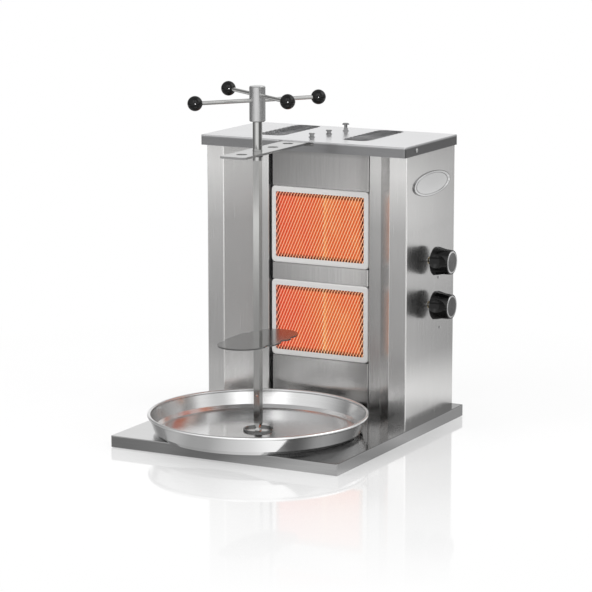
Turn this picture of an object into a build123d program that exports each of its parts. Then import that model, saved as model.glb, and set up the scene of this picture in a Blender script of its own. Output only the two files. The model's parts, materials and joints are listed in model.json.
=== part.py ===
"""Two-burner vertical gas grill for doner and gyros, with a hand-turned skewer.

Frame: origin on the counter under the middle of the base, +X to the operator's
right, +Y from the operator to the burners, +Z up. All sizes are in millimetres.
"""
from build123d import *
from math import radians, sin
import os

os.makedirs("parts", exist_ok=True)

# ------------------------------------------------------------ driving dimensions
# Base pan
base_width = 461.0
base_depth = 530.0
base_sheet = 1.5
skirt_height = 21.0
foot_drop = 1.5               # the rubber feet stand this much below the skirt
foot_inset = 34.0
foot_r = 15.0
base_top = foot_drop + skirt_height

# Cabinet: two bent side casings, a back panel and a lid
cabinet_width = 416.4
cabinet_front = 55.0          # Y of the flat front strips
cabinet_depth = 208.0
sheet = 1.2
bend = 2.0                    # outer bend radius of the casing sheet
front_strip = 35.1            # width of each flat front strip
wing_depth = 53.2             # the burner wall lies this far behind the strips
wing_foot = 130.5             # half the width between the feet of the splayed wings
wall_edge = 105.6             # half the gap between the casings at the burners
fold_back = 10.0              # folded edges turn in by this much
back_flange = 18.0
lid_width = 424.0
lid_overhang = 16.2
lid_sheet = 1.5
lid_flange = 19.3
lid_rise = 516.5              # lid top above the base top

cabinet_back = cabinet_front + cabinet_depth
screw_r = 2.0
lid_screw_y = cabinet_front + 30.8
lid_screw_z = base_top + 506.5
screw_head_r = 3.8
screw_head_rise = 2.1
back_screw_first = base_top + 60.0
back_screw_pitch = 190.0
back_vent_heights = (-150.0, 110.0)    # stack middles from the panel's middle
back_vent_slot = (80.0, 6.0)
back_vent_pitch = (110.0, 16.0)

half_cabinet = cabinet_width / 2
wall_front = cabinet_front + wing_depth
lid_top = base_top + lid_rise
lid_under = lid_top - lid_sheet
lid_front = cabinet_front - lid_overhang
lid_back = cabinet_back + 2.0
lid_depth = lid_back - lid_front
vent_middle = (-6.0, cabinet_front + 118.0)
vent_offset = 88.5            # each vent's middle from the middle of the pair
vent_count = 10
vent_pitch = 16.8
vent_slot = (57.0, 14.6)      # only thin bars stay between the slots
vent_corner = 17.0            # the end slots follow a rounded outline
slot_end = 5.0

# Burners, each two standard 92 x 132 mm ceramic tiles side by side
tile_size = (92.0, 132.0, 13.0)
bezel_size = (205.0, 146.5)
window_size = (185.4, 124.2)
bezel_corner = 8.5
bezel_front = cabinet_front + 57.9
bezel_depth = 12.0
bezel_sheet = 1.5
burner_heights = {"upper": base_top + 345.6, "lower": base_top + 167.2}
column_half = 101.5           # half width of the sheet panels between the burners
column_front = cabinet_front + 60.0
panel_gap = 0.5               # gap between a panel and a burner bezel
rail_front = bezel_front + bezel_depth + 2.0
rail_inner = 99.0
rail_outer = 114.0
rail_leg = 20.0
rail_sheet = 1.5
mesh_wire = 1.0
mesh_pitch = 5.6
mesh_slant = 66.0             # degrees from the horizontal
mesh_count = 45
mesh_border = 3.0
mesh_overlap = 4.0            # the mesh reaches this far behind the bezel on each side
tile_front = bezel_front + 8.0
tile_joint = 1.0
chamber_size = (190.0, 138.0)
chamber_back = bezel_front + 52.0

# Gas side: knobs on the right, each valve behind its own knob
knob_y = cabinet_front + 98.0
knob_heights = {"upper": base_top + 293.4, "lower": base_top + 210.1}
knob_gap = 11.0               # panel to the back of the knob
knob_push = 4.0               # travel when pressed to light the burner
stem_r = 4.0
shaft_hole_r = 7.0
pipe_r = 8.0
inlet_x = 170.0
inlet_r = 10.48               # G 1/2 outside thread
inlet_z = base_top + 60.0

# Spit line: pan, pivot ring, skewer, bush and handle share this axis
spit_x = -10.0
spit_y = cabinet_front - 165.0
pan_rim_r = 202.0
pan_floor_r = 191.0
pan_height = 35.5
pan_sheet = 1.5
pan_bead_r = 3.1
pan_corner = 7.0              # bevel between floor and wall
clear = 0.3                   # gap between separate moving bodies

arm_width = 52.0
arm_thick = 4.0
arm_front = cabinet_front - 260.0
arm_back = cabinet_front + 200.0
arm_hole_r = 9.75
arm_pitch = 58.0
arm_under = lid_under - arm_thick
arm_bolts_at = ((-8.0, cabinet_front + 42.0), (-2.0, cabinet_front + 100.0))
thumb_at = (4.0, cabinet_front + 158.0)
bolt_r = 3.0
nut_r = 5.7
washer_r = 5.8
washer_thick = 1.2
notch_width = 71.0
notch_height = 7.0

bar_side = 12.0
journal_r = 8.6
bush_gap = 0.08               # running fit of the journal in its bush
journal_top = base_top + 567.8
hub_r = 14.5
hub_height = 63.8
rod_r = 3.65
rod_reach = 122.0             # axis to ball centre
rod_angle = 54.2              # degrees from +X to the lower rod
rod_heights = (base_top + 606.0, base_top + 615.5)
ball_r = 13.5
plate_z = base_top + 169.0
plate_thick = 2.5
pin_hole_r = 3.0
low_pin_z = base_top + 67.5
bush_drop = 6.5               # the bush stands out under the arm by this much

hub_socket = 26.0
hub_screw_r = 3.0
hub_screw_z = journal_top + 12.0
ball_socket = 7.0
ring_outer_r = 27.5
ring_inner_r = 24.5
ring_height = 3.6
skewer_bottom = base_top + clear + pan_sheet + clear
taper_top = base_top + 15.5
neck_z = skewer_bottom + 4.5
neck_side = 5.0
toe_side = 10.0
journal_bottom = base_top + 498.0
plate_pin_z = plate_z - clear - pin_hole_r
lobe_r = 45.0
lobe_shift = (1.5, 56.5)      # rear lobe's middle; the front lobe is its half-turn copy
shoulder_size = (102.0, 84.0)
shoulder_corner = 12.0
waist_notch_r = 14.0
waist_notch_at = (58.0, 6.0)  # one shallow notch, on the right edge

# Hidden gas train
tube_start = -40.0            # X of the mixing tube's blind end
tube_length = 105.0
tube_r = 11.0
tube_y = cabinet_front + 138.0
valve_x = 178.0
valve_half = 14.0
magnet_x = 138.0
stem_root = 188.0
push_rod_r = 2.0
manifold_y = cabinet_front + 74.0
inlet_length = 15.0
sensor_x = 97.0
sensor_r = 1.2

# Knob and badge forms
knob_r = 28.0
knob_length = 46.5
knob_face_r = 22.4
knob_socket = 26.0
cap_r = 20.6
scoop_x = 31.0
scoop_r = 34.0
scoop_reach = 55.0
scoop_turn = -8.0
badge_half_length = 80.0
badge_half_height = 22.5
badge_thick = 1.4
badge_rim = 0.8
badge_at = (cabinet_front + 105.0, base_top + 437.0)
side_screws_at = ((cabinet_front + 147.0, base_top + 159.0), (cabinet_front + 140.0, base_top + 255.0))
side_screw_r = 2.6


def facing_front(x, y, z):
    """Sketch plane seen by the operator: local x to the right, local y up."""
    return Plane(origin=(x, y, z), x_dir=(1, 0, 0), z_dir=(0, -1, 0))


def facing_right(x, y, z):
    """Sketch plane seen from the right: local x to the rear, local y up."""
    return Plane(origin=(x, y, z), x_dir=(0, 1, 0), z_dir=(1, 0, 0))


def level(x, y, z):
    """Horizontal sketch plane."""
    return Plane(origin=(x, y, z))


def save(builder, name):
    """Label the finished piece and write its STEP file."""
    builder.part.label = name
    export_step(builder.part, f"parts/{name}.step")


# ------------------------------------------------------------ base pan and feet
with BuildPart() as base_plate:
    with BuildSketch(level(0, 0, foot_drop)):
        RectangleRounded(base_width, base_depth, 4)
    extrude(amount=skirt_height)
    fillet(base_plate.faces().sort_by(Axis.Z)[-1].edges(), radius=1.4)
    with BuildSketch(level(0, 0, foot_drop)):
        RectangleRounded(base_width - 2 * base_sheet, base_depth - 2 * base_sheet, 2.5)
    extrude(amount=skirt_height - base_sheet, mode=Mode.SUBTRACT)
    # inward lip that stiffens the skirt's lower edge
    with BuildSketch(level(0, 0, foot_drop)):
        RectangleRounded(base_width - 2, base_depth - 2, 3)
        RectangleRounded(base_width - 24, base_depth - 24, 3, mode=Mode.SUBTRACT)
    extrude(amount=base_sheet)
save(base_plate, "base_plate")

with BuildPart() as base_feet:
    for foot in GridLocations(base_width - 2 * foot_inset, base_depth - 2 * foot_inset, 2, 2):
        with BuildSketch(Plane(foot)):
            Circle(foot_r - 2)
        with BuildSketch(Plane(foot).offset(base_top - base_sheet)):
            Circle(foot_r)
        loft()
save(base_feet, "base_feet")


# ------------------------------------------------------------ side casings
def casing_outline(side):
    """Plan view of the outer skin, from the back flange round to the burner wall."""
    return [
        (side * (half_cabinet - back_flange), cabinet_back),
        (side * half_cabinet, cabinet_back),
        (side * half_cabinet, cabinet_front),
        (side * (half_cabinet - front_strip), cabinet_front),
        (side * wing_foot, wall_front),
        (side * wall_edge, wall_front),
        (side * wall_edge, wall_front + fold_back),
    ]


def side_casing(side, shaft_holes):
    """One side of the cabinet: a single sheet bent into side, strip, wing and wall."""
    with BuildPart() as casing:
        with BuildSketch(level(0, 0, base_top)):
            with BuildLine():
                skin = FilletPolyline(*casing_outline(side), radius=bend)
                offset(skin, amount=sheet, side=Side.RIGHT if side > 0 else Side.LEFT)
            make_face()
        extrude(amount=lid_under - base_top)
        # floor flange that is bolted down to the base pan
        with BuildSketch(level(side * (half_cabinet - 8), cabinet_front + cabinet_depth / 2, base_top)):
            Rectangle(15, cabinet_depth - 40)
        extrude(amount=sheet)
        with BuildSketch(facing_right(side * (half_cabinet - 5), lid_screw_y, lid_screw_z)):
            Circle(screw_r + 0.2)
        extrude(amount=side * 10, mode=Mode.SUBTRACT)
        for height in shaft_holes:
            with BuildSketch(facing_right(side * (half_cabinet - 5), knob_y, height)):
                Circle(shaft_hole_r)
            extrude(amount=side * 10, mode=Mode.SUBTRACT)
    return casing


save(side_casing(-1, []), "left_casing")
save(side_casing(1, knob_heights.values()), "right_casing")

# ------------------------------------------------------------ back panel
with BuildPart() as back_panel:
    back_y = cabinet_back - sheet
    with BuildSketch(facing_front(0, back_y, (base_top + lid_under) / 2)):
        Rectangle(cabinet_width - 2 * sheet - 2, lid_under - base_top - 0.6)
        with Locations((inlet_x, inlet_z - (base_top + lid_under) / 2)):
            Circle(pipe_r + 2, mode=Mode.SUBTRACT)
        # two stacks of vent slots low and high in the panel
        for stack_z in back_vent_heights:
            with Locations((0, stack_z)):
                with GridLocations(*back_vent_pitch, 2, 6):
                    SlotOverall(*back_vent_slot, mode=Mode.SUBTRACT)
    extrude(amount=sheet)
save(back_panel, "back_panel")

with BuildPart() as back_screws:
    for side in (-1, 1):
        for step in range(3):
            screw_z = back_screw_first + step * back_screw_pitch
            with BuildSketch(facing_front(side * (half_cabinet - back_flange / 2), cabinet_back, screw_z)):
                Circle(screw_head_r)
            extrude(amount=-screw_head_rise)
    chamfer(back_screws.faces().sort_by(Axis.Y)[-6:].edges(), length=1.0)
save(back_screws, "back_screws")

# ------------------------------------------------------------ lid
with BuildPart() as lid:
    lid_mid = (lid_front + lid_back) / 2
    with BuildSketch(level(0, lid_mid, lid_top - lid_flange)):
        RectangleRounded(lid_width, lid_depth, 3)
    extrude(amount=lid_flange)
    fillet(lid.faces().sort_by(Axis.Z)[-1].edges(), radius=1.4)
    with BuildSketch(level(0, lid_mid, lid_top - lid_flange)):
        RectangleRounded(lid_width - 2 * lid_sheet, lid_depth - 2 * lid_sheet, 1.5)
    extrude(amount=lid_flange - lid_sheet, mode=Mode.SUBTRACT)
    # two stacks of vent slots for the hot air
    stack_depth = (vent_count - 1) * vent_pitch + vent_slot[1]
    with BuildSketch(level(*vent_middle, lid_top + 1)):
        with GridLocations(2 * vent_offset, vent_pitch, 2, vent_count):
            RectangleRounded(*vent_slot, slot_end)
        with GridLocations(2 * vent_offset, 1, 2, 1):
            RectangleRounded(vent_slot[0], stack_depth, vent_corner, mode=Mode.INTERSECT)
    extrude(amount=-lid_sheet - 2, mode=Mode.SUBTRACT)
    # notch in the front flange that lets the spit arm out
    with BuildSketch(facing_front(spit_x, lid_front + 5, lid_under - notch_height / 2)):
        Rectangle(notch_width, notch_height)
    extrude(amount=10, mode=Mode.SUBTRACT)
    with BuildSketch(level(0, 0, lid_top + 1)):
        with Locations(*arm_bolts_at, thumb_at):
            Circle(bolt_r + 0.2)
    extrude(amount=-lid_sheet - 2, mode=Mode.SUBTRACT)
    with BuildSketch(facing_right(-lid_width, lid_screw_y, lid_screw_z)):
        Circle(screw_r + 0.2)
    extrude(amount=2 * lid_width, mode=Mode.SUBTRACT)
save(lid, "lid")

with BuildPart() as lid_screws:
    for side in (-1, 1):
        with BuildSketch(facing_right(side * lid_width / 2, lid_screw_y, lid_screw_z)):
            Circle(screw_head_r)
        extrude(amount=side * screw_head_rise)
    chamfer(lid_screws.faces().filter_by(Axis.X).sort_by(Axis.X)[0].edges(), length=1.0)
    chamfer(lid_screws.faces().filter_by(Axis.X).sort_by(Axis.X)[-1].edges(), length=1.0)
    for side in (-1, 1):
        with BuildSketch(facing_right(side * lid_width / 2, lid_screw_y, lid_screw_z)):
            Circle(screw_r)
        extrude(amount=-side * 7)
save(lid_screws, "lid_screws")


# ------------------------------------------------------------ burner column
def column_panel(bottom, top):
    """Sheet that closes the column above, between or below the burners."""
    back = rail_front
    with BuildPart() as panel:
        with BuildSketch(level(0, 0, bottom)):
            with BuildLine():
                corner_points = [
                    (-column_half, back), (-column_half, column_front),
                    (column_half, column_front), (column_half, back),
                ]
                skin = FilletPolyline(*corner_points, radius=bend)
                offset(skin, amount=sheet, side=Side.LEFT)
            make_face()
        extrude(amount=top - bottom)
    return panel


half_bezel = bezel_size[1] / 2
lower_z = burner_heights["lower"]
upper_z = burner_heights["upper"]
save(column_panel(base_top, lower_z - half_bezel - panel_gap), "bottom_panel")
save(column_panel(lower_z + half_bezel + panel_gap, upper_z - half_bezel - panel_gap), "middle_panel")
save(column_panel(upper_z + half_bezel + panel_gap, arm_under - 6), "top_panel")


def burner_rail(side):
    """Upright angle that carries the burners and the column panels."""
    with BuildPart() as rail:
        with BuildSketch(level(0, 0, base_top)):
            with BuildLine():
                leg_points = [
                    (side * rail_inner, rail_front),
                    (side * rail_outer, rail_front),
                    (side * rail_outer, rail_front + rail_leg),
                ]
                skin = FilletPolyline(*leg_points, radius=bend)
                offset(skin, amount=rail_sheet, side=Side.LEFT if side > 0 else Side.RIGHT)
            make_face()
        extrude(amount=lid_under - base_top)
    return rail


save(burner_rail(-1), "left_rail")
save(burner_rail(1), "right_rail")


def burner_bezel(height):
    """Pressed frame that holds the guard mesh over the tiles."""
    width, tall = bezel_size
    with BuildPart() as bezel:
        with BuildSketch(facing_front(0, bezel_front + bezel_depth, height)):
            RectangleRounded(width, tall, bezel_corner)
        extrude(amount=bezel_depth)
        fillet(bezel.faces().sort_by(Axis.Y)[0].edges(), radius=3)
        with BuildSketch(facing_front(0, bezel_front + bezel_depth, height)):
            RectangleRounded(width - 2 * bezel_sheet, tall - 2 * bezel_sheet, bezel_corner - bezel_sheet)
        extrude(amount=bezel_depth - bezel_sheet, mode=Mode.SUBTRACT)
        with BuildSketch(facing_front(0, bezel_front - 1, height)):
            RectangleRounded(*window_size, 3)
        extrude(amount=-bezel_depth, mode=Mode.SUBTRACT)
    return bezel


def guard_mesh(height):
    """Two crossing layers of slanted wires in a flat border."""
    width = window_size[0] + 2 * mesh_overlap
    tall = window_size[1] + 2 * mesh_overlap
    with BuildPart() as mesh:
        for layer, slant in enumerate((mesh_slant, -mesh_slant)):
            front = bezel_front + bezel_sheet + mesh_wire * (layer + 1)
            with BuildSketch(facing_front(0, front, height)):
                with GridLocations(mesh_pitch / sin(radians(mesh_slant)), 1, mesh_count, 1):
                    Rectangle(2 * tall, mesh_wire, rotation=slant)
                Rectangle(width, tall, mode=Mode.INTERSECT)
            extrude(amount=mesh_wire)
            with BuildSketch(facing_front(0, front, height)):
                Rectangle(width, tall)
                Rectangle(width - 2 * mesh_border, tall - 2 * mesh_border, mode=Mode.SUBTRACT)
            extrude(amount=mesh_wire)
    return mesh


def ceramic_tiles(height):
    """The two ceramic plates that glow."""
    width, tall, thick = tile_size
    with BuildPart() as tiles:
        with BuildSketch(facing_front(0, tile_front + thick, height)):
            with GridLocations(width + tile_joint, 1, 2, 1):
                Rectangle(width, tall)
        extrude(amount=thick)
    return tiles


def mixing_chamber(height):
    """Pressed chamber behind the tiles, with its mixing tube for gas and air."""
    width, tall = chamber_size
    flange_y = bezel_front + bezel_depth + 2
    with BuildPart() as chamber:
        with BuildSketch(facing_front(0, flange_y, height)):
            RectangleRounded(bezel_size[0] - 1, bezel_size[1] - 1, bezel_corner)
        extrude(amount=2)
        with BuildSketch(facing_front(0, chamber_back, height)):
            RectangleRounded(width, tall, 5)
        extrude(amount=chamber_back - flange_y)
        fillet(chamber.faces().sort_by(Axis.Y)[-1].edges(), radius=4)
        # stub and tube that carry the mixture in from the injector
        with BuildSketch(facing_front(tube_start, chamber_back, height)):
            Circle(tube_r + 2)
        extrude(amount=-(tube_y - chamber_back))
        with BuildSketch(facing_right(tube_start - tube_r - 2, tube_y, height)):
            Circle(tube_r + 2)
        extrude(amount=tube_r + 2)
        with BuildSketch(facing_right(tube_start, tube_y, height)):
            Circle(tube_r)
        extrude(amount=tube_length)
        with BuildSketch(facing_right(tube_start + tube_length, tube_y, height)):
            Circle(tube_r)
        with BuildSketch(facing_right(tube_start + tube_length + 10, tube_y, height)):
            Circle(tube_r + 5)
        loft()
        # hollow inside: seat for the tiles, then the chamber, then the tube
        with BuildSketch(facing_front(0, tile_front + tile_size[2], height)):
            Rectangle(2 * tile_size[0] + tile_joint + 0.6, tile_size[1] + 0.6)
        extrude(amount=20, mode=Mode.SUBTRACT)
        with BuildSketch(facing_front(0, chamber_back - 2, height)):
            Rectangle(width - 14, tall - 14)
        extrude(amount=chamber_back, mode=Mode.SUBTRACT)
        with BuildSketch(facing_right(tube_start, tube_y, height)):
            Circle(tube_r - 2)
        extrude(amount=tube_length + 10, mode=Mode.SUBTRACT)
        with BuildSketch(facing_front(tube_start, tube_y, height)):
            Circle(tube_r - 2)
        extrude(amount=tube_y - chamber_back + 3, mode=Mode.SUBTRACT)
        # the flame sensor passes through the flange beside the tiles, level with its valve
        sensor_z = min(knob_heights.values(), key=lambda z: abs(z - height))
        with BuildSketch(facing_front(sensor_x, flange_y + 1, sensor_z)):
            Circle(sensor_r + 0.3)
        extrude(amount=4, mode=Mode.SUBTRACT)
    return chamber


def injector(height):
    """Brass jet in line with the mixing tube's bell mouth."""
    jet_x = tube_start + tube_length + 8
    with BuildPart() as jet:
        with BuildSketch(facing_right(jet_x, tube_y, height)):
            Circle(2.5)
        with BuildSketch(facing_right(jet_x + 6, tube_y, height)):
            Circle(4.5)
        loft()
        with BuildSketch(facing_right(jet_x + 6, tube_y, height)):
            RegularPolygon(radius=7.5, side_count=6)
        extrude(amount=10)
    return jet


def gas_pipe(height):
    """Bent tube from the valve outlet to the injector."""
    start = (valve_x, knob_y + valve_half, height)
    corner = (valve_x, tube_y, height)
    end = (tube_start + tube_length + 24, tube_y, height)
    with BuildPart() as pipe:
        with BuildLine() as route:
            FilletPolyline(start, corner, end, radius=14)
        with BuildSketch(Plane(origin=start, z_dir=(0, 1, 0))):
            Circle(3.5)
        sweep(path=route.wires()[0])
    return pipe


def gas_valve(height):
    """Valve body with flame-failure unit, bored for the stem and its push rod."""
    with BuildPart() as valve:
        with BuildSketch(facing_right(valve_x - valve_half, knob_y, height)):
            RectangleRounded(2 * valve_half, 2 * valve_half, 6)
        extrude(amount=2 * valve_half)
        chamfer(valve.faces().filter_by(Axis.X).edges(), length=2)
        with BuildSketch(facing_right(valve_x, knob_y, height)):
            Circle(9)
        extrude(amount=half_cabinet - sheet - valve_x)
        with BuildSketch(facing_right(magnet_x, knob_y, height)):
            Circle(7)
        extrude(amount=valve_x - magnet_x)
        # bores for the turning stem and for the push rod behind it
        with BuildSketch(facing_right(stem_root - knob_push - 1, knob_y, height)):
            Circle(stem_r + 0.08)
        extrude(amount=80, mode=Mode.SUBTRACT)
        with BuildSketch(facing_right(magnet_x + 3, knob_y, height)):
            Circle(push_rod_r + 0.08)
        extrude(amount=80, mode=Mode.SUBTRACT)
    return valve


def thermocouple(height):
    """Flame sensor: thin tube from the magnet unit to the edge of the tiles."""
    start = (magnet_x, knob_y, height)
    corner = (sensor_x, knob_y, height)
    tip = (sensor_x, tile_front, height)
    with BuildPart() as sensor:
        with BuildLine() as route:
            FilletPolyline(start, corner, tip, radius=12)
        with BuildSketch(Plane(origin=start, z_dir=(-1, 0, 0))):
            Circle(sensor_r)
        sweep(path=route.wires()[0])
    return sensor


def push_rod(height):
    """Rod that the pressed stem drives against the flame-failure magnet."""
    with BuildPart() as rod:
        with BuildSketch(facing_right(magnet_x + 3 + knob_push + 1, knob_y, height)):
            Circle(push_rod_r)
        extrude(amount=stem_root - (magnet_x + 3 + knob_push + 1))
    return rod


def valve_stem(height):
    """Turning stem of the valve, which carries the knob."""
    with BuildPart() as stem:
        with BuildSketch(facing_right(stem_root, knob_y, height)):
            Circle(stem_r)
        extrude(amount=half_cabinet + knob_socket - stem_root)
        chamfer(stem.faces().sort_by(Axis.X)[-1].edges(), length=0.8)
    return stem


def knob(height):
    """Moulded knob with four finger scoops round a tapering grip."""
    profile = [
        (knob_gap, stem_r), (knob_gap, 19), (12.5, 26.5), (15, knob_r), (20, knob_r - 0.4),
        (knob_length - 1, knob_face_r + 0.6), (knob_length, knob_face_r), (knob_length, cap_r),
        (knob_length - 1.5, cap_r), (knob_length - 1.5, 0), (knob_socket, 0), (knob_socket, stem_r),
    ]
    axis_point = (half_cabinet, knob_y, height)
    with BuildPart() as grip:
        with BuildSketch(facing_front(*axis_point)):
            with BuildLine():
                Polyline(*profile, close=True)
            make_face()
        revolve(axis=Axis(axis_point, (1, 0, 0)))
        scoop_plane = facing_right(half_cabinet + scoop_x, knob_y, height)
        for spot in scoop_plane * PolarLocations(scoop_reach, 4, start_angle=scoop_turn):
            with Locations(spot):
                Sphere(scoop_r, mode=Mode.SUBTRACT)
    return grip


def knob_cap(height):
    """Brushed metal disc let into the knob's face."""
    with BuildPart() as cap:
        with BuildSketch(facing_right(half_cabinet + knob_length - 1.5, knob_y, height)):
            Circle(cap_r)
        extrude(amount=2.2)
        chamfer(cap.faces().sort_by(Axis.X)[-1].edges(), length=0.6)
    return cap


burner_pieces = {
    "bezel": burner_bezel,
    "guard_mesh": guard_mesh,
    "tiles": ceramic_tiles,
    "mixing_chamber": mixing_chamber,
    "injector": injector,
}
valve_pieces = {
    "gas_pipe": gas_pipe,
    "valve": gas_valve,
    "thermocouple": thermocouple,
    "push_rod": push_rod,
    "valve_stem": valve_stem,
    "knob": knob,
    "knob_cap": knob_cap,
}
for place, height in burner_heights.items():
    for piece, make in burner_pieces.items():
        save(make(height), f"{place}_{piece}")
for place, height in knob_heights.items():
    for piece, make in valve_pieces.items():
        save(make(height), f"{place}_{piece}")

# ------------------------------------------------------------ gas supply
with BuildPart() as gas_manifold:
    top_z = knob_heights["upper"] + 12
    manifold_top = (inlet_x, manifold_y, top_z)
    with BuildLine() as supply_route:
        FilletPolyline(
            manifold_top,
            (inlet_x, manifold_y, inlet_z),
            (inlet_x, cabinet_back + 4, inlet_z),
            radius=24,
        )
    with BuildSketch(level(*manifold_top)):
        Circle(pipe_r)
    sweep(path=supply_route.wires()[0])
    for height in knob_heights.values():
        with BuildSketch(facing_front(inlet_x, knob_y - valve_half, height)):
            Circle(6)
        extrude(amount=knob_y - valve_half - manifold_y)
    # locknut against the back panel and the outside thread for the hose
    with BuildSketch(facing_front(inlet_x, cabinet_back + 4, inlet_z)):
        RegularPolygon(radius=15, side_count=6)
    extrude(amount=4)
    with BuildSketch(facing_front(inlet_x, cabinet_back + 4 + inlet_length, inlet_z)):
        Circle(inlet_r)
    extrude(amount=inlet_length)
    with BuildSketch(facing_front(inlet_x, cabinet_back + 4 + inlet_length, inlet_z)):
        Circle(6)
    extrude(amount=inlet_length, mode=Mode.SUBTRACT)
save(gas_manifold, "gas_manifold")

# ------------------------------------------------------------ plain trim on the right side
with BuildPart() as side_badge:
    with BuildSketch(facing_right(half_cabinet, *badge_at)):
        Ellipse(badge_half_length, badge_half_height)
    extrude(amount=badge_thick)
    with BuildSketch(facing_right(half_cabinet + badge_thick, *badge_at)):
        Ellipse(badge_half_length - 2, badge_half_height - 2)
        Ellipse(badge_half_length - 4.5, badge_half_height - 4.5, mode=Mode.SUBTRACT)
    extrude(amount=badge_rim)
save(side_badge, "side_badge")

with BuildPart() as side_screws:
    for spot in side_screws_at:
        with BuildSketch(facing_right(half_cabinet, *spot)):
            Circle(side_screw_r)
        extrude(amount=1.2)
save(side_screws, "side_screws")

# ------------------------------------------------------------ drip pan with pivot ring
pan_z = base_top + clear
with BuildPart() as drip_pan:
    with BuildSketch(facing_front(spit_x, spit_y, pan_z)):
        with BuildLine():
            inner_r = pan_floor_r - pan_sheet
            wall_r = pan_rim_r - pan_bead_r
            bead_z = pan_height - pan_bead_r
            Polyline(
                (0, 0), (pan_floor_r - pan_corner, 0), (pan_floor_r, pan_corner),
                (wall_r + pan_sheet / 2, bead_z), (wall_r - pan_sheet / 2, bead_z),
                (inner_r, pan_corner + 0.5), (pan_floor_r - pan_corner - 0.6, pan_sheet), (0, pan_sheet),
                close=True,
            )
        make_face()
        with Locations((wall_r, bead_z)):
            Circle(pan_bead_r)
    revolve(axis=Axis((spit_x, spit_y, pan_z), (0, 0, 1)))
save(drip_pan, "drip_pan")

with BuildPart() as pivot_ring:
    ring_z = pan_z + pan_sheet
    with BuildSketch(level(spit_x, spit_y, ring_z)):
        Circle(ring_outer_r)
        Circle(ring_inner_r, mode=Mode.SUBTRACT)
    extrude(amount=ring_height)
    chamfer(pivot_ring.edges().group_by(Axis.Z)[-1], length=0.8)
save(pivot_ring, "pivot_ring")

# ------------------------------------------------------------ spit arm
with BuildPart() as spit_arm:
    arm_mid = (arm_front + arm_back) / 2
    with BuildSketch(level(spit_x, arm_mid, arm_under)):
        Rectangle(arm_width, arm_back - arm_front)
    extrude(amount=arm_thick)
    chamfer(spit_arm.edges().filter_by(Axis.Z).group_by(Axis.Y)[0], length=5)
    with BuildSketch(level(spit_x, spit_y, arm_under)):
        with Locations((0, -arm_pitch), (0, 0), (0, arm_pitch), (0, 2 * arm_pitch)):
            Circle(arm_hole_r)
    extrude(amount=arm_thick, mode=Mode.SUBTRACT)
    with BuildSketch(level(0, 0, arm_under)):
        with Locations(*arm_bolts_at, thumb_at):
            Circle(bolt_r + 0.2)
    extrude(amount=arm_thick, mode=Mode.SUBTRACT)
save(spit_arm, "spit_arm")

with BuildPart() as arm_bolts:
    for bolt_x, bolt_y in arm_bolts_at:
        bolt_profile = [
            (0, -14), (bolt_r, -14), (bolt_r, 0), (washer_r, 0), (washer_r, washer_thick), (3.8, 2.0),
            (3.8, 5.0), (5.6, 5.6), (5.6, 7.4), (4.2, 8.2), (0, 8.2),
        ]
        with BuildSketch(facing_front(bolt_x, bolt_y, lid_top)):
            with BuildLine():
                Polyline(*bolt_profile, close=True)
            make_face()
        revolve(axis=Axis((bolt_x, bolt_y, lid_top), (0, 0, 1)))
save(arm_bolts, "arm_bolts")

with BuildPart() as arm_nuts:
    with BuildSketch(level(0, 0, arm_under)):
        with Locations(*arm_bolts_at):
            RegularPolygon(radius=nut_r, side_count=6)
            Circle(bolt_r, mode=Mode.SUBTRACT)
    extrude(amount=-5)
save(arm_nuts, "arm_nuts")

with BuildPart() as thumb_nut:
    with BuildSketch(level(*thumb_at, lid_top)):
        Circle(washer_r)
        Circle(bolt_r + 0.2, mode=Mode.SUBTRACT)
    extrude(amount=washer_thick)
    with BuildSketch(level(*thumb_at, lid_top + washer_thick)):
        RegularPolygon(radius=4.8, side_count=6)
        Circle(bolt_r + 0.2, mode=Mode.SUBTRACT)
    extrude(amount=4)
save(thumb_nut, "thumb_nut")

with BuildPart() as thumb_screw:
    screw_profile = [
        (0, -9), (bolt_r, -9), (bolt_r, 11.5), (6.6, 12.0), (6.6, 13.4), (4.4, 15.0), (0, 15.4),
    ]
    with BuildSketch(facing_front(*thumb_at, lid_top)):
        with BuildLine():
            Polyline(*screw_profile, close=True)
        make_face()
    revolve(axis=Axis((*thumb_at, lid_top), (0, 0, 1)))
save(thumb_screw, "thumb_screw")

# ------------------------------------------------------------ skewer, bush and handle
with BuildPart() as arm_bush:
    bush_profile = [
        (journal_r + bush_gap, -bush_drop), (arm_hole_r - bush_gap, -bush_drop),
        (arm_hole_r - bush_gap, arm_thick), (journal_r + bush_gap, arm_thick),
    ]
    with BuildSketch(facing_front(spit_x, spit_y, arm_under)):
        with BuildLine():
            Polyline(*bush_profile, close=True)
        make_face()
    revolve(axis=Axis((spit_x, spit_y, arm_under), (0, 0, 1)))
save(arm_bush, "arm_bush")

with BuildPart() as skewer:
    with BuildSketch(level(spit_x, spit_y, journal_bottom)):
        Circle(journal_r)
    extrude(amount=journal_top + hub_socket - journal_bottom)
    with BuildSketch(level(spit_x, spit_y, taper_top)):
        Rectangle(bar_side, bar_side)
    extrude(amount=journal_bottom + 4 - taper_top)
    # tapered end: a narrow neck that flares into the foot
    for (high_z, high_side), (low_z, low_side) in (
        ((taper_top, bar_side), (neck_z, neck_side)),
        ((neck_z, neck_side), (skewer_bottom, toe_side)),
    ):
        with BuildSketch(level(spit_x, spit_y, low_z)):
            Rectangle(low_side, low_side)
        with BuildSketch(level(spit_x, spit_y, high_z)):
            Rectangle(high_side, high_side)
        loft()
    for hole_z in (low_pin_z, plate_pin_z):
        with BuildSketch(facing_front(spit_x, spit_y + bar_side, hole_z)):
            Circle(pin_hole_r)
        extrude(amount=2 * bar_side, mode=Mode.SUBTRACT)
save(skewer, "skewer")

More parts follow.
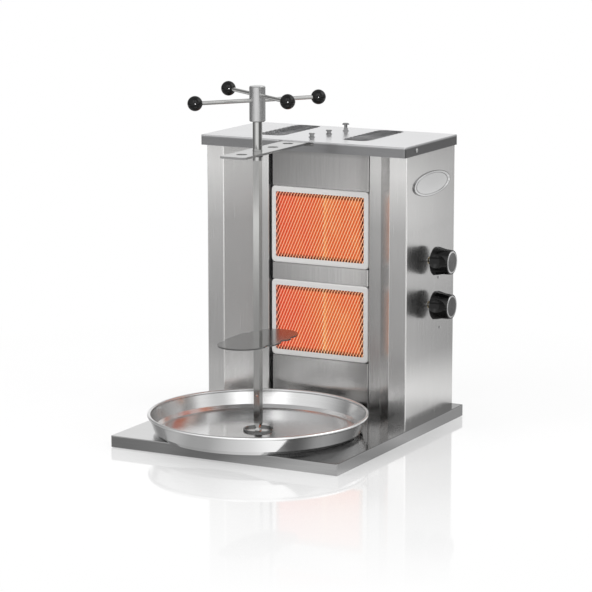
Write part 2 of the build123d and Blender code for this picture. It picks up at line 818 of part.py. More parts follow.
with BuildPart() as meat_plate:
    # two round lobes on a squarer middle, which is a little wider
    with BuildSketch(level(spit_x, spit_y, plate_z)):
        with PolarLocations(0, 2):
            with Locations(lobe_shift):
                Circle(lobe_r)
        RectangleRounded(*shoulder_size, shoulder_corner)
        with Locations(waist_notch_at):
            Circle(waist_notch_r, mode=Mode.SUBTRACT)
        Rectangle(bar_side + 2 * clear, bar_side + 2 * clear, mode=Mode.SUBTRACT)
    extrude(amount=plate_thick)
save(meat_plate, "meat_plate")

with BuildPart() as plate_pin:
    with BuildSketch(facing_front(spit_x, spit_y + 14, plate_pin_z)):
        Circle(pin_hole_r)
    extrude(amount=28)
    chamfer(plate_pin.edges(), length=0.5)
save(plate_pin, "plate_pin")

with BuildPart() as handle_hub:
    with BuildSketch(level(spit_x, spit_y, journal_top)):
        Circle(hub_r)
    extrude(amount=hub_height)
    chamfer(handle_hub.faces().filter_by(Axis.Z).edges(), length=1.5)
    with BuildSketch(level(spit_x, spit_y, journal_top)):
        Circle(journal_r)
    extrude(amount=hub_socket, mode=Mode.SUBTRACT)
    for turn, rod_z in zip((rod_angle, rod_angle + 90), rod_heights):
        rod_plane = Plane(origin=(spit_x, spit_y, rod_z)).rotated((0, 0, turn))
        with BuildSketch(Plane(origin=rod_plane.origin, z_dir=rod_plane.x_dir).offset(-hub_r - 1)):
            Circle(rod_r)
        extrude(amount=2 * hub_r + 2, mode=Mode.SUBTRACT)
    with BuildSketch(facing_front(spit_x, spit_y + hub_r + 1, hub_screw_z)):
        Circle(hub_screw_r)
    extrude(amount=hub_r, mode=Mode.SUBTRACT)
save(handle_hub, "handle_hub")

with BuildPart() as hub_screw:
    with BuildSketch(facing_front(spit_x, spit_y + hub_r, hub_screw_z)):
        Circle(hub_screw_r)
    extrude(amount=hub_r - journal_r)
save(hub_screw, "hub_screw")


def handle_rod(turn, rod_z):
    """Rod through the hub, from ball to ball."""
    direction = Plane(origin=(spit_x, spit_y, rod_z)).rotated((0, 0, turn)).x_dir
    with BuildPart() as rod:
        with BuildSketch(Plane(origin=(spit_x, spit_y, rod_z), z_dir=direction)):
            Circle(rod_r)
        extrude(amount=rod_reach - ball_r + ball_socket, both=True)
    return rod


save(handle_rod(rod_angle, rod_heights[0]), "lower_handle_rod")
save(handle_rod(rod_angle + 90, rod_heights[1]), "upper_handle_rod")

with BuildPart() as handle_balls:
    for quarter in range(4):
        turn = rod_angle + 90 * quarter
        rod_z = rod_heights[quarter % 2]
        ball_plane = Plane(origin=(spit_x, spit_y, rod_z)).rotated((0, 0, turn))
        with Locations(ball_plane.location):
            with Locations((rod_reach, 0, 0)):
                Sphere(ball_r)
        with BuildSketch(Plane(origin=ball_plane.origin, z_dir=ball_plane.x_dir)):
            Circle(rod_r)
        extrude(amount=rod_reach - ball_r + ball_socket, mode=Mode.SUBTRACT)
save(handle_balls, "handle_balls")
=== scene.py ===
"""Looks of the two-burner vertical gas grill: finishes, glowing burners, floor, light and camera."""

import json
from math import cos, pi, radians, sin

import bpy
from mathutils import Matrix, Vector


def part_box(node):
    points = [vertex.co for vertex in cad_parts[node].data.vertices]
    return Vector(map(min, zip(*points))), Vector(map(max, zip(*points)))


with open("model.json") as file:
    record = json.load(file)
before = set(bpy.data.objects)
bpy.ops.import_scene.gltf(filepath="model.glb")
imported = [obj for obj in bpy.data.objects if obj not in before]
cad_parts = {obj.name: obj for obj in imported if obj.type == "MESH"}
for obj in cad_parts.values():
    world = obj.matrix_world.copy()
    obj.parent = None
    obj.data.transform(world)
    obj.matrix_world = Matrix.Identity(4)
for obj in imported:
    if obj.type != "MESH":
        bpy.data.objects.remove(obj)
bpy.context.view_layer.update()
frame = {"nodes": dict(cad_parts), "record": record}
nodes = frame["nodes"]


# ------------------------------------------------------------ places read from the frame
def middle(node):
    """Middle of a CAD node's box."""
    low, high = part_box(node)
    return (low + high) / 2


def size(node):
    """Side lengths of a CAD node's box."""
    low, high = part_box(node)
    return high - low


base_low, base_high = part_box("base_plate")
casing_low, casing_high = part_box("right_casing")
lid_low, lid_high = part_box("lid")
FOLD_X = 0.1731               # where the front strips fold into the splayed wings


# ------------------------------------------------------------ camera
def add_camera():
    """Long lens, to the right of the front and a little above."""
    azimuth, elevation = radians(27.80), radians(10.577)
    camera_data = bpy.data.cameras.new("camera")
    camera_data.lens = 163.2
    camera_data.sensor_width = 36.0
    camera = bpy.data.objects.new("camera", camera_data)
    bpy.context.scene.collection.objects.link(camera)
    forward = Vector((-sin(azimuth) * cos(elevation), cos(azimuth) * cos(elevation), -sin(elevation)))
    camera.location = (2.2752, -4.2965, 1.1637)
    camera.rotation_euler = forward.to_track_quat("-Z", "Y").to_euler()
    bpy.context.scene.camera = camera


# ------------------------------------------------------------ node helpers
def new_material(name):
    """Empty node material with its Principled shader."""
    material = bpy.data.materials.new(name)
    material.use_nodes = True
    tree = material.node_tree
    shader = tree.nodes["Principled BSDF"]
    return material, tree, shader


def node(tree, kind, **values):
    """Node with inputs set by name, or properties where no input has that name."""
    made = tree.nodes.new(kind)
    for key, value in values.items():
        label = key.replace("_", " ")
        if label in made.inputs:
            made.inputs[label].default_value = value
        else:
            setattr(made, key, value)
    return made


def wire(tree, out_socket, in_socket):
    """Link two sockets."""
    tree.links.new(out_socket, in_socket)


def ramp(tree, source, stops):
    """Colour ramp on a value; stops are (position, grey or colour)."""
    made = tree.nodes.new("ShaderNodeValToRGB")
    band = made.color_ramp
    while len(band.elements) < len(stops):
        band.elements.new(0.5)
    for element, (place, tone) in zip(band.elements, stops):
        element.position = place
        element.color = (tone, tone, tone, 1) if isinstance(tone, (int, float)) else (*tone, 1)
    wire(tree, source, made.inputs["Fac"])
    return made.outputs["Color"]


def maths(tree, operation, first, second=0.0):
    """Math node on sockets or numbers."""
    made = node(tree, "ShaderNodeMath", operation=operation)
    for value, socket in ((first, made.inputs[0]), (second, made.inputs[1])):
        if isinstance(value, bpy.types.NodeSocket):
            wire(tree, value, socket)
        else:
            socket.default_value = value
    return made.outputs["Value"]


def span(tree, source, low, high, to_low=0.0, to_high=1.0):
    """Source mapped from low..high to to_low..to_high, clamped."""
    made = tree.nodes.new("ShaderNodeMapRange")
    for label, value in (("From Min", low), ("From Max", high), ("To Min", to_low), ("To Max", to_high)):
        made.inputs[label].default_value = value
    wire(tree, source, made.inputs["Value"])
    return made.outputs["Result"]


def object_axes(tree):
    """X, Y and Z of object space, in metres."""
    place = tree.nodes.new("ShaderNodeTexCoord")
    split = tree.nodes.new("ShaderNodeSeparateXYZ")
    wire(tree, place.outputs["Object"], split.inputs["Vector"])
    return split.outputs


def axis_value(tree, axis, low, high):
    """0 to 1 along an axis of object space."""
    return span(tree, object_axes(tree)[axis], low, high)


def from_axis(tree, centre, keep):
    """Offset from an axis through centre and its length; keep is 0 along the axis and 1 across it."""
    place = tree.nodes.new("ShaderNodeTexCoord")
    apart = node(tree, "ShaderNodeVectorMath", operation="SUBTRACT")
    apart.inputs[1].default_value = centre
    wire(tree, place.outputs["Object"], apart.inputs[0])
    flat = node(tree, "ShaderNodeVectorMath", operation="MULTIPLY")
    flat.inputs[1].default_value = keep
    wire(tree, apart.outputs["Vector"], flat.inputs[0])
    reach = node(tree, "ShaderNodeVectorMath", operation="LENGTH")
    wire(tree, flat.outputs["Vector"], reach.inputs[0])
    return flat.outputs["Vector"], reach.outputs["Value"]


def stretched_noise(tree, scale, detail=3.0):
    """Noise stretched along an axis by a vector of scales, in object space."""
    place = tree.nodes.new("ShaderNodeTexCoord")
    mapping = node(tree, "ShaderNodeMapping", Scale=scale)
    wire(tree, place.outputs["Object"], mapping.inputs["Vector"])
    noise = node(tree, "ShaderNodeTexNoise", Scale=1.0, Detail=detail, Roughness=0.6)
    wire(tree, mapping.outputs["Vector"], noise.inputs["Vector"])
    return noise.outputs["Fac"]


def bump_from(tree, shader, source, strength, distance):
    """Bump on the shader's normal."""
    bump = node(tree, "ShaderNodeBump", Strength=strength, Distance=distance)
    wire(tree, source, bump.inputs["Height"])
    wire(tree, bump.outputs["Normal"], shader.inputs["Normal"])


def mix_colours(tree, factor, first, second, blend="MIX"):
    """Mixed colour of two sockets or colours."""
    made = node(tree, "ShaderNodeMix", data_type="RGBA", blend_type=blend)
    sockets = (made.inputs["Factor"], made.inputs[6], made.inputs[7])
    for value, socket in zip((factor, first, second), sockets):
        if isinstance(value, bpy.types.NodeSocket):
            wire(tree, value, socket)
        elif isinstance(value, (int, float)):
            socket.default_value = value
        else:
            socket.default_value = (*value, 1)
    return made.outputs[2]


# ------------------------------------------------------------ finishes
def sheet_steel(name, tone, roughness, grain, contrast=0.06, bump=0.03, shade=None):
    """Brushed stainless sheet; grain holds noise scales, low along the brushing, and shade a tone factor of
    painted light and shade.
    """
    material, tree, shader = new_material(name)
    lines = stretched_noise(tree, grain)
    clouds = stretched_noise(tree, (7, 7, 5), detail=2.0)
    light = [min(1, c * (1 + contrast)) for c in tone]
    dark = [c * (1 - contrast) for c in tone]
    streaked = mix_colours(tree, ramp(tree, lines, [(0.3, 0.0), (0.7, 1.0)]), dark, light)
    patches = ramp(tree, clouds, [(0.3, 0.0), (0.7, 1.0)])
    clouded = mix_colours(tree, patches, (0.94, 0.94, 0.94), (1, 1, 1))
    colour = mix_colours(tree, 1.0, streaked, clouded, "MULTIPLY")
    if shade:
        colour = mix_colours(tree, 1.0, colour, shade(tree), "MULTIPLY")
    wire(tree, colour, shader.inputs["Base Color"])
    shader.inputs["Metallic"].default_value = 1.0
    wire(tree, span(tree, lines, 0.0, 1.0, roughness * 0.85, roughness * 1.2), shader.inputs["Roughness"])
    bump_from(tree, shader, lines, bump, 0.0004)
    return material


def polished_steel(name, tone=(0.62, 0.62, 0.61), roughness=0.12):
    """Turned or ground stainless with faint scratches."""
    return sheet_steel(name, tone, roughness, (260, 260, 30), contrast=0.05, bump=0.02)


def spun_aluminium(name, tone, roughness):
    """Aluminium with fine rings about the spit axis, and painted light that makes its outer wall brighter.
    """
    material, tree, shader = new_material(name)
    offset, radius = from_axis(tree, middle("drip_pan"), (1, 1, 0))
    rings = node(tree, "ShaderNodeTexNoise", noise_dimensions="1D", Scale=900.0, Detail=3.0)
    wire(tree, radius, rings.inputs["W"])
    dark = [c * 0.93 for c in tone]
    spun = mix_colours(tree, rings.outputs["Fac"], dark, tone)
    outward = node(tree, "ShaderNodeVectorMath", operation="NORMALIZE")
    wire(tree, offset, outward.inputs[0])
    geometry = tree.nodes.new("ShaderNodeNewGeometry")
    facing = node(tree, "ShaderNodeVectorMath", operation="DOT_PRODUCT")
    wire(tree, outward.outputs["Vector"], facing.inputs[0])
    wire(tree, geometry.outputs["Normal"], facing.inputs[1])
    # painted light: the outer wall lighter than the rest of the pan
    outer = span(tree, facing.outputs["Value"], 0.5, 0.8)
    wire(tree, mix_colours(tree, outer, spun, (0.95, 0.95, 0.95)), shader.inputs["Base Color"])
    tangent = node(tree, "ShaderNodeTangent", direction_type="RADIAL", axis="Z")
    wire(tree, tangent.outputs["Tangent"], shader.inputs["Tangent"])
    shader.inputs["Metallic"].default_value = 1.0
    shader.inputs["Roughness"].default_value = roughness
    shader.inputs["Anisotropic"].default_value = 0.7
    bump_from(tree, shader, rings.outputs["Fac"], 0.06, 0.0003)
    return material


RING_START = 0.0176           # radius at which a knob disc turns into its lighter ring
RING_FULL = 0.0182


def spun_disc(name, tone, roughness, centre):
    """Face-turned metal disc that looks along X, with a lighter ring at its rim."""
    material, tree, shader = new_material(name)
    radius = from_axis(tree, centre, (0, 1, 1))[1]
    rim = span(tree, radius, RING_START, RING_FULL)
    wire(tree, mix_colours(tree, rim, tone, (0.5, 0.5, 0.5)), shader.inputs["Base Color"])
    shader.inputs["Metallic"].default_value = 1.0
    shader.inputs["Roughness"].default_value = roughness
    shader.inputs["Anisotropic"].default_value = 0.85
    tangent = node(tree, "ShaderNodeTangent", direction_type="RADIAL", axis="X")
    wire(tree, tangent.outputs["Tangent"], shader.inputs["Tangent"])
    return material


def plain_finish(name, tone, roughness, metallic=0.0, specular=0.5, grain=400.0, contrast=0.08, bump=0.05):
    """Moulded, painted or cast surface with a fine grain."""
    material, tree, shader = new_material(name)
    speckle = stretched_noise(tree, (grain, grain, grain), detail=2.0)
    dark = [c * (1 - contrast) for c in tone]
    wire(tree, mix_colours(tree, speckle, dark, tone), shader.inputs["Base Color"])
    shader.inputs["Metallic"].default_value = metallic
    shader.inputs["Roughness"].default_value = roughness
    shader.inputs["Specular IOR Level"].default_value = specular
    bump_from(tree, shader, speckle, bump, 0.0002)
    return material


def base_painted_shade(tree):
    """Painted shade: top of the base darker from the pan towards the right, and a darker front edge."""
    across = ramp(tree, axis_value(tree, "X", base_low.x, base_high.x),
                  [(0.0, 1.0), (0.28, 1.0), (0.5, 0.72), (0.64, 0.62), (0.8, 0.27), (1.0, 0.25)])
    place = tree.nodes.new("ShaderNodeNewGeometry")
    split = tree.nodes.new("ShaderNodeSeparateXYZ")
    wire(tree, place.outputs["Normal"], split.inputs["Vector"])
    ahead = span(tree, split.outputs["Y"], -0.9, -0.5)
    edge = mix_colours(tree, ahead, (0.70, 0.70, 0.70), (0.86, 0.86, 0.86))
    return mix_colours(tree, span(tree, split.outputs["Z"], 0.4, 0.8), edge, across)


def lid_painted_shade(tree):
    """Painted shade: flanges darker than the top, most of all the right one."""
    flange = ramp(tree, axis_value(tree, "X", lid_high.x - 0.002, lid_high.x - 0.001),
                  [(0.0, 0.42), (1.0, 0.24)])
    height = axis_value(tree, "Z", lid_high.z - 0.004, lid_high.z - 0.0015)
    return mix_colours(tree, height, flange, (1, 1, 1))


def column_painted_shade(tree):
    """Painted light and shade on the panels: darker towards the left, the middle one lightest, and a painted
    shadow on the top one under the lid's edge.
    """
    across = ramp(tree, axis_value(tree, "X", -0.1, 0.1), [(0.0, 0.52), (0.55, 0.78), (1.0, 1.0)])
    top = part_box("top_panel")[0].z
    height = ramp(tree, axis_value(tree, "Z", top - 0.02, lid_low.z),
                  [(0.0, 1.0), (0.25, 0.68), (0.8, 0.62), (1.0, 0.3)])
    lower = ramp(tree, axis_value(tree, "Z", 0.0, top),
                 [(0.10, 0.86), (0.35, 0.86), (0.55, 1.16), (0.9, 1.0)])
    shaded = mix_colours(tree, 1.0, across, height, "MULTIPLY")
    return mix_colours(tree, 1.0, shaded, lower, "MULTIPLY")


def casing_painted_light(tree):
    """Painted light and shade on the sheet: darker towards the back, lighter near the bottom and the top
    than in the middle, a painted shadow just under the lid, and painted highlights on the corner bends and
    fold lines.
    """
    axes = object_axes(tree)
    off_middle = maths(tree, "ABSOLUTE", axes["X"])
    outward = span(tree, off_middle, casing_high.x - 0.0022, casing_high.x - 0.0012)
    forward = span(tree, axes["Y"], casing_low.y + 0.0035, casing_low.y + 0.0015)
    corner = maths(tree, "MULTIPLY", outward, forward)
    off_fold = maths(tree, "ABSOLUTE", maths(tree, "SUBTRACT", off_middle, FOLD_X))
    on_front = span(tree, axes["Y"], casing_low.y + 0.0016, casing_low.y + 0.0010)
    ridge = maths(tree, "MULTIPLY", span(tree, off_fold, 0.0012, 0.0008), on_front)
    # mask for the painted highlights on the corner bends and fold lines
    bright = maths(tree, "MAXIMUM", corner, ridge)
    depth = span(tree, axes["Y"], casing_low.y, casing_high.y)
    sheet = ramp(tree, depth, [(0.0, 1.0), (0.15, 0.98), (1.0, 0.80)])
    height = ramp(tree, axis_value(tree, "Z", 0.0, casing_high.z),
                  [(0.05, 0.94), (0.17, 0.80), (0.26, 0.60), (0.70, 0.58), (0.80, 0.72), (0.90, 0.88),
                   (0.96, 0.84), (0.982, 0.5), (1.0, 0.3)])
    return mix_colours(tree, bright, mix_colours(tree, 1.0, sheet, height, "MULTIPLY"), (1, 1, 1))


def badge_joint_and_painted_shade(tree):
    """Dark joint round the oval plate and painted shade in the groove inside its raised rim."""
    centre = middle("side_badge")
    extent = size("side_badge")
    place = tree.nodes.new("ShaderNodeTexCoord")
    mapping = node(tree, "ShaderNodeMapping", vector_type="POINT")
    mapping.inputs["Location"].default_value = (0, -2 * centre.y / extent.y, -2 * centre.z / extent.z)
    mapping.inputs["Scale"].default_value = (0, 2 / extent.y, 2 / extent.z)
    wire(tree, place.outputs["Object"], mapping.inputs["Vector"])
    reach = node(tree, "ShaderNodeVectorMath", operation="LENGTH")
    wire(tree, mapping.outputs["Vector"], reach.inputs[0])
    return ramp(tree, reach.outputs["Value"],
                [(0.0, 0.92), (0.80, 0.96), (0.84, 0.40), (0.88, 1.0), (0.95, 1.0), (0.975, 0.30)])


VERTICAL_GRAIN = (900, 900, 14)
CROSS_GRAIN = (14, 900, 900)

finishes = {
    "base_sheet": sheet_steel("base_sheet", (0.56, 0.56, 0.56), 0.13, CROSS_GRAIN, bump=0.02,
                              shade=base_painted_shade),
    "casing_sheet": sheet_steel("casing_sheet", (0.97, 0.96, 0.95), 0.25, VERTICAL_GRAIN, contrast=0.035,
                                bump=0.015, shade=casing_painted_light),
    "lid_sheet": sheet_steel("lid_sheet", (0.66, 0.66, 0.67), 0.22, CROSS_GRAIN, shade=lid_painted_shade),
    "column_sheet": sheet_steel("column_sheet", (0.82, 0.81, 0.80), 0.18, VERTICAL_GRAIN,
                                shade=column_painted_shade),
    "bezel_sheet": plain_finish("bezel_sheet", (0.84, 0.83, 0.82), 0.32, metallic=0.2, contrast=0.03),
    "galvanised": plain_finish("galvanised", (0.5, 0.52, 0.54), 0.45, metallic=0.9, grain=60,
                               contrast=0.2),
    "brass": plain_finish("brass", (0.50, 0.40, 0.24), 0.3, metallic=1.0),
    "gas_tube": plain_finish("gas_tube", (0.6, 0.6, 0.6), 0.35, metallic=1.0),
    "plated_screw": polished_steel("plated_screw", (0.6, 0.6, 0.6), 0.08),
    "badge_plate": sheet_steel("badge_plate", (0.86, 0.86, 0.86), 0.25, (200, 200, 200), contrast=0.02,
                               bump=0.0, shade=badge_joint_and_painted_shade),
    "pan_aluminium": spun_aluminium("pan_aluminium", (0.70, 0.70, 0.70), 0.15),
    "arm_steel": sheet_steel("arm_steel", (0.40, 0.40, 0.40), 0.2, (900, 14, 900)),
    "bush_nylon": plain_finish("bush_nylon", (0.008, 0.008, 0.008), 0.4, specular=0.3),
    "spit_steel": polished_steel("spit_steel", (0.55, 0.55, 0.54), 0.10),
    "plate_steel": polished_steel("plate_steel", (0.20, 0.20, 0.198), 0.14),
    "knob_plastic": plain_finish("knob_plastic", (0.003, 0.003, 0.003), 0.07, specular=0.3, bump=0.0),
    "ball_plastic": plain_finish("ball_plastic", (0.003, 0.003, 0.003), 0.05, specular=0.28, bump=0.0),
    "foot_rubber": plain_finish("foot_rubber", (0.02, 0.02, 0.02), 0.7),
}


# ------------------------------------------------------------ glowing burners
def heat_drift(tree):
    """0 in the redder left of a burner, 0.5 in its right, 1 in the pale streak by the tile joint."""
    across = axis_value(tree, "X", -0.095, 0.095)
    drift = ramp(tree, across,
                 [(0.0, 0.0), (0.40, 0.28), (0.515, 0.40), (0.54, 0.85), (0.57, 0.48), (1.0, 0.50)])
    blotch = stretched_noise(tree, (38, 38, 16), detail=3.0)
    return mix_colours(tree, 0.22, drift, ramp(tree, blotch, [(0.35, 0.0), (0.65, 1.0)]))


def glow(name, heat_of, shown):
    """Incandescent surface; heat_of holds its red, orange and pale colours, and shown dims parts of it."""
    material, tree, shader = new_material(name)
    red, orange, pale = heat_of
    colour = ramp(tree, heat_drift(tree), [(0.0, red), (0.5, orange), (1.0, pale)])
    wire(tree, mix_colours(tree, 1.0, colour, shown(tree), "MULTIPLY"), shader.inputs["Emission Color"])
    shader.inputs["Base Color"].default_value = (0.03, 0.02, 0.02, 1)
    shader.inputs["Emission Strength"].default_value = 1.05
    shader.inputs["Roughness"].default_value = 0.8
    shader.inputs["Specular IOR Level"].default_value = 0.0
    return material


def burner_painted_edge_shade(place):
    """Shade function that darkens a burner's tiles in a narrow band along the window's edges, as painted
    shade from the bezel round the window.
    """
    centre = middle(f"{place}_tiles")
    extent = size(f"{place}_tiles")

    def shown(tree):
        axes = object_axes(tree)
        off_x = maths(tree, "ABSOLUTE", maths(tree, "SUBTRACT", axes["X"], centre.x - 0.004))
        off_z = maths(tree, "ABSOLUTE", maths(tree, "SUBTRACT", axes["Z"], centre.z - 0.0015))
        near_x = span(tree, off_x, extent.x / 2 - 0.009, extent.x / 2 - 0.004, 1.0, 0.08)
        near_z = span(tree, off_z, extent.z / 2 - 0.0125, extent.z / 2 - 0.0085, 1.0, 0.08)
        return maths(tree, "MINIMUM", near_x, near_z)

    return shown


def mesh_layers(place):
    """Shade function that keeps the front layer of wires light and the rear layer a dull red."""
    low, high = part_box(f"{place}_guard_mesh")

    def shown(tree):
        return ramp(tree, axis_value(tree, "Y", low.y, high.y), [(0.42, 1.0), (0.52, (0.42, 0.16, 0.10))])

    return shown


tile_heat = ((0.64, 0.050, 0.020), (0.66, 0.105, 0.022), (0.86, 0.36, 0.10))
wire_heat = ((1.0, 0.38, 0.26), (1.0, 0.54, 0.30), (1.0, 0.84, 0.54))

# nodes that don't take the finish of their slot
fastener = polished_steel("fastener", (0.34, 0.34, 0.34), 0.1)
own_finishes = {name: fastener for name in ("arm_bolts", "thumb_screw", "thumb_nut")}
own_finishes["handle_hub"] = polished_steel("hub_steel", (0.55, 0.55, 0.55), 0.24)
for place in ("upper", "lower"):
    tiles, mesh, disc = f"{place}_tiles", f"{place}_guard_mesh", f"{place}_knob_cap"
    own_finishes[tiles] = glow(tiles, tile_heat, burner_painted_edge_shade(place))
    own_finishes[mesh] = glow(mesh, wire_heat, mesh_layers(place))
    own_finishes[disc] = spun_disc(disc, (0.09, 0.09, 0.09), 0.2, middle(disc))

for subpart in frame["record"]["subparts"]:
    name = subpart["node"]
    materials = nodes[name].data.materials
    materials.clear()
    materials.append(own_finishes.get(name) or finishes[subpart["material_slot"]])


# ------------------------------------------------------------ floor, backdrop and light
def floor_polar(tree):
    """Distance from the object's axis in metres, and bearing as 0 to 1 with 0.5 straight ahead."""
    place = tree.nodes.new("ShaderNodeNewGeometry")
    split = tree.nodes.new("ShaderNodeSeparateXYZ")
    wire(tree, place.outputs["Position"], split.inputs["Vector"])
    distance = node(tree, "ShaderNodeVectorMath", operation="LENGTH")
    wire(tree, place.outputs["Position"], distance.inputs[0])
    ahead = maths(tree, "MULTIPLY", split.outputs["Y"], -1.0)
    bearing = maths(tree, "ARCTAN2", split.outputs["X"], ahead)
    return distance.outputs["Value"], span(tree, bearing, -pi, pi)


def bearing_stops(*pairs):
    """Ramp stops from (bearing in degrees, value) pairs."""
    return [((degrees + 180) / 360, value) for degrees, value in pairs]


SKIRT_END = (0.43, 0.50)      # distances in metres over which one zone of the floor passes into the next
CLOSE_END = (0.65, 0.95)
RING_END = (2.92, 3.12)
FLOOR_GLOW = 1.4
WORLD_GLOW = 1.05
WINDOW_GAIN = 2.4             # how much brighter the windows are than the wall below them
WINDOW_FOOT = (0.30, 0.44)    # sines of the elevations where the windows begin and end
WINDOW_HEAD = (0.78, 0.94)


def studio_glow(tree, distance, bearing):
    """What polished metal sees in the floor: patches of light close to the base, a grey ring, a bright ring,
    and far out a window between dark walls. Ramp values are parts of the strength."""
    skirt = ramp(tree, bearing, bearing_stops(
        (-180, 0.40), (-37, 0.27), (-25, 0.32), (-15, 0.24), (-5, 0.25), (5, 0.40), (14, 0.50), (22, 0.65),
        (32, 0.70), (42, 0.64), (52, 0.42), (66, 0.32), (84, 0.36), (100, 0.46), (130, 0.36), (180, 0.36)))
    close = ramp(tree, bearing, bearing_stops(
        (-180, 0.40), (-60, 0.40), (-20, 0.36), (0, 0.52), (7, 0.92), (12, 0.80), (18, 0.58), (27, 0.75),
        (37, 1.0), (47, 0.80), (58, 0.36), (67, 0.24), (80, 0.55), (115, 0.67), (150, 0.67), (180, 0.45)))
    ring = ramp(tree, span(tree, distance, 0.8, 2.8),
                [(0.0, 0.33), (0.15, 0.31), (0.45, 0.41), (0.72, 0.62), (0.90, 0.86)])
    lift = ramp(tree, bearing, bearing_stops((90, 0.0), (125, 0.12), (160, 0.12), (180, 0.0)))
    far = ramp(tree, bearing, bearing_stops(
        (-180, 0.30), (-130, 0.42), (-76, 0.08), (-58, 0.13), (-46, 0.26), (-28, 0.46), (-12, 0.66),
        (10, 0.88), (40, 0.76), (56, 0.42), (72, 0.13), (86, 0.05), (100, 0.06), (118, 0.16), (150, 0.34),
        (180, 0.30)))
    tone = mix_colours(tree, span(tree, distance, *SKIRT_END), skirt, close)
    lifted = mix_colours(tree, 1.0, ring, lift, "ADD")
    tone = mix_colours(tree, span(tree, distance, *CLOSE_END), tone, lifted)
    tone = mix_colours(tree, span(tree, distance, *RING_END), tone, far)
    light = tree.nodes.new("ShaderNodeEmission")
    light.inputs["Strength"].default_value = FLOOR_GLOW
    wire(tree, tone, light.inputs["Color"])
    return light.outputs["Emission"]


def add_floor():
    """White floor: a soft shadow and a fading mirror image to the eye, a graded studio in reflections."""
    bpy.ops.mesh.primitive_plane_add(size=40.0, location=(0, 0, -0.0002))
    floor = bpy.context.object
    floor.name = "floor"
    material, tree, shader = new_material("floor")
    tree.nodes.remove(shader)
    distance, bearing = floor_polar(tree)
    away = span(tree, distance, 0.4, 1.15)
    diffuse = node(tree, "ShaderNodeBsdfDiffuse")
    wire(tree, mix_colours(tree, away, (0.33, 0.33, 0.33), (0, 0, 0)), diffuse.inputs["Color"])
    white = node(tree, "ShaderNodeEmission", Color=(1, 1, 1, 1))
    wire(tree, span(tree, away, 0.0, 1.0, 0.63, 1.0), white.inputs["Strength"])
    paper = tree.nodes.new("ShaderNodeAddShader")
    wire(tree, diffuse.outputs["BSDF"], paper.inputs[0])
    wire(tree, white.outputs["Emission"], paper.inputs[1])
    mirror = node(tree, "ShaderNodeBsdfGlossy", Color=(1, 1, 1, 1), Roughness=0.05)
    polish = tree.nodes.new("ShaderNodeMixShader")
    fade = ramp(tree, span(tree, distance, 0.25, 1.1), [(0.0, 0.46), (0.12, 0.30), (0.4, 0.14), (0.9, 0.0)])
    wire(tree, fade, polish.inputs["Fac"])
    wire(tree, paper.outputs["Shader"], polish.inputs[1])
    wire(tree, mirror.outputs["BSDF"], polish.inputs[2])
    path = tree.nodes.new("ShaderNodeLightPath")
    seen = tree.nodes.new("ShaderNodeMixShader")
    wire(tree, path.outputs["Is Glossy Ray"], seen.inputs["Fac"])
    wire(tree, polish.outputs["Shader"], seen.inputs[1])
    wire(tree, studio_glow(tree, distance, bearing), seen.inputs[2])
    wire(tree, seen.outputs["Shader"], tree.nodes["Material Output"].inputs["Surface"])
    floor.data.materials.append(material)


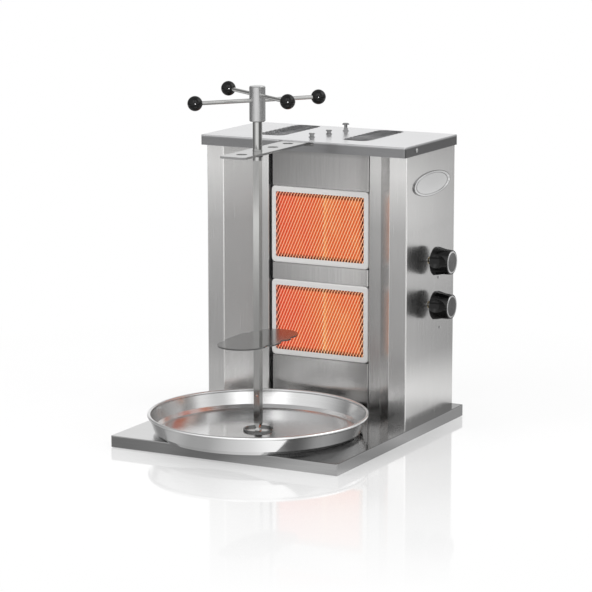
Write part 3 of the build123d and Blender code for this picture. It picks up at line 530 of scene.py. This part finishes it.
def add_world():
    """White to the eye; a graded studio in reflections and soft fill for diffuse light."""
    world = bpy.data.worlds.new("studio")
    bpy.context.scene.world = world
    world.use_nodes = True
    tree = world.node_tree
    back = tree.nodes["Background"]
    back.inputs["Strength"].default_value = WORLD_GLOW
    path = tree.nodes.new("ShaderNodeLightPath")
    place = tree.nodes.new("ShaderNodeTexCoord")
    split = tree.nodes.new("ShaderNodeSeparateXYZ")
    wire(tree, place.outputs["Generated"], split.inputs["Vector"])
    ahead = maths(tree, "MULTIPLY", split.outputs["Y"], -1.0)
    bearing = span(tree, maths(tree, "ARCTAN2", split.outputs["X"], ahead), -pi, pi)
    windows = ramp(tree, bearing, bearing_stops(
        (-180, 0.22), (-150, 0.16), (-100, 0.16), (-60, 0.30), (-32, 0.36), (-12, 0.44), (4, 0.86),
        (14, 0.62), (24, 0.46), (38, 0.70), (50, 0.80), (58, 0.54), (68, 0.26), (82, 0.24), (95, 0.48),
        (106, 0.84), (120, 0.84), (138, 0.60), (165, 0.26), (180, 0.22)))
    bright = mix_colours(tree, 1.0, windows, (WINDOW_GAIN,) * 3, "MULTIPLY")
    up = split.outputs["Z"]
    horizon = ramp(tree, bearing, bearing_stops(
        (-180, 1.0), (-138, 1.0), (-118, 0.22), (-85, 0.24), (-58, 0.7), (-35, 1.0), (95, 1.0),
        (125, 0.55), (160, 0.40), (180, 1.0)))
    studio = mix_colours(tree, span(tree, up, *WINDOW_FOOT), horizon, bright)
    studio = mix_colours(tree, span(tree, up, *WINDOW_HEAD), studio, (0.5, 0.5, 0.5))
    fill = mix_colours(tree, path.outputs["Is Diffuse Ray"], studio, (0.75, 0.75, 0.75))
    wire(tree, mix_colours(tree, path.outputs["Is Camera Ray"], fill, (1, 1, 1)), back.inputs["Color"])


def add_softbox(name, place, target, width, height, power):
    """Area light turned towards a target, not seen in polished pieces."""
    data = bpy.data.lights.new(name, "AREA")
    data.shape = "RECTANGLE"
    data.size, data.size_y = width, height
    data.energy = power
    lamp = bpy.data.objects.new(name, data)
    bpy.context.scene.collection.objects.link(lamp)
    lamp.location = place
    lamp.rotation_euler = (Vector(target) - Vector(place)).to_track_quat("-Z", "Y").to_euler()
    lamp.visible_glossy = False
    return lamp


def add_spark():
    """Small lamp in front that only the black balls see, as the bright spot in their gloss."""
    lamp = add_softbox("spark", (1.25, -2.15, 0.60), (0, 0, 0.6), 0.55, 0.55, 50)
    lamp.visible_glossy = True
    glossy_pieces = bpy.data.collections.new("glossy_pieces")
    glossy_pieces.objects.link(nodes["handle_balls"])
    lamp.light_linking.receiver_collection = glossy_pieces


def add_lights():
    """Key from the upper left, fill from the right, and a top light."""
    centre = (0, 0, 0.3)
    add_softbox("key", (-1.9, -2.2, 2.1), centre, 1.6, 1.6, 26)
    add_softbox("fill", (2.8, 0.2, 1.2), centre, 1.2, 1.8, 14)
    add_softbox("top", (0.0, 0.3, 2.6), centre, 1.8, 1.2, 12)


add_camera()
add_floor()
add_world()
add_lights()
add_spark()
bpy.context.scene.view_settings.view_transform = "Standard"
